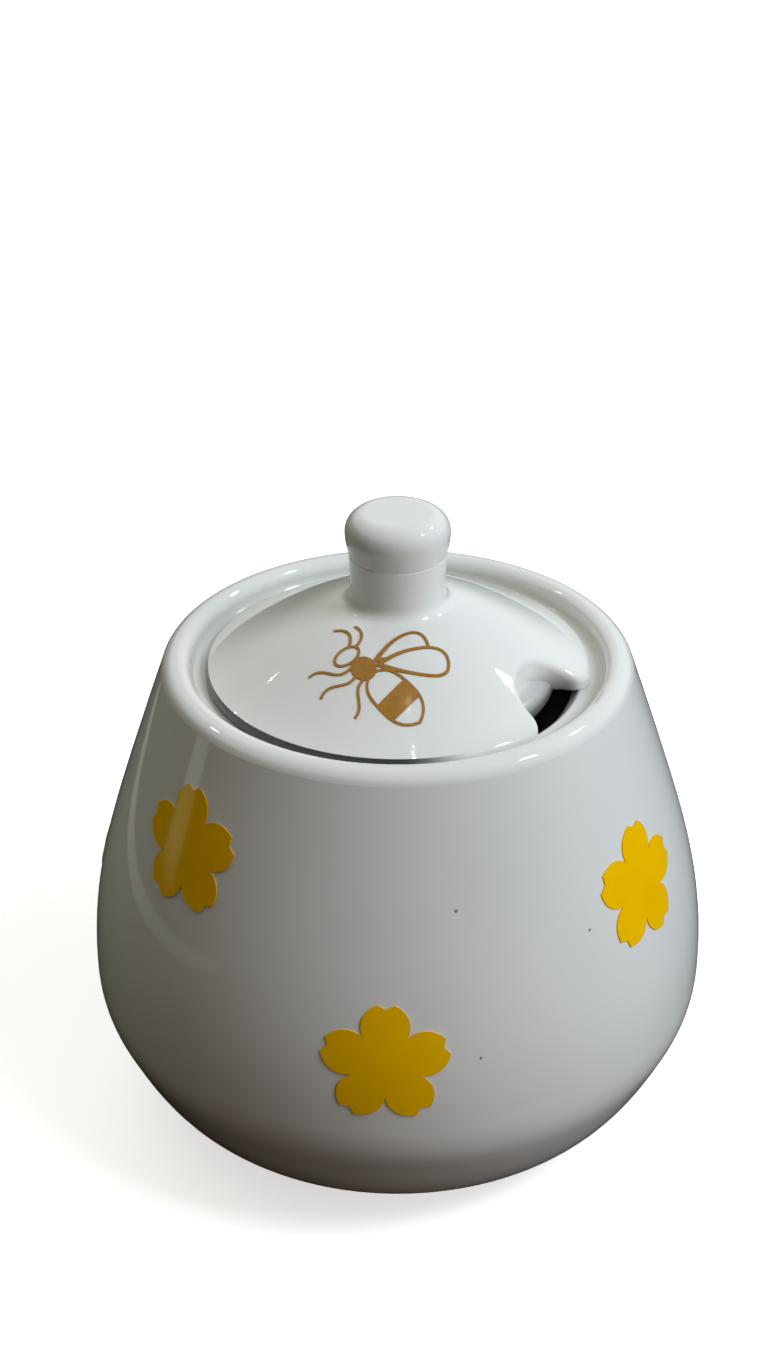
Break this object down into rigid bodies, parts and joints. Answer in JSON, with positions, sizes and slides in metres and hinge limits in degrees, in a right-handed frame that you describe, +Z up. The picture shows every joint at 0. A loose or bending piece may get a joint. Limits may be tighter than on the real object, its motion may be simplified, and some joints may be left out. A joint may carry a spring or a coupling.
{
  "type": "honey pot with loose lid",
  "caption": "Squat round glazed porcelain honey pot with an inner gallery, a loose domed lid with a spoon notch and a flared knob, and blossom and bee prints.",
  "frame": {"origin": "centre of the foot ring's resting face, on the table", "axes": "+Z up through the knob; the front, with the centre blossom and the bee, faces -Y; the spoon notch is at the front right"},
  "size_m": [0.1, 0.1001, 0.1036],
  "materials": {
    "glaze": "cool white porcelain under a clear gloss glaze",
    "yellow_print": "opaque yellow overglaze print, gloss",
    "gold_print": "golden brown overglaze print, satin gloss"
  },
  "bodies": {
    "pot": {"pot_body": "glaze", "blossom_print_1": "yellow_print", "blossom_print_2": "yellow_print", "blossom_print_3": "yellow_print", "blossom_print_4": "yellow_print", "blossom_print_5": "yellow_print", "blossom_print_6": "yellow_print", "blossom_print_7": "yellow_print"},
    "lid": {"lid": "glaze", "knob": "glaze", "bee_print": "gold_print"}
  },
  "joints": [
    {"name": "lid_lift", "type": "slide", "parent": "pot", "child": "lid", "axis": [0, 0, 1], "range_m": [0, 0.06]}
  ]
}
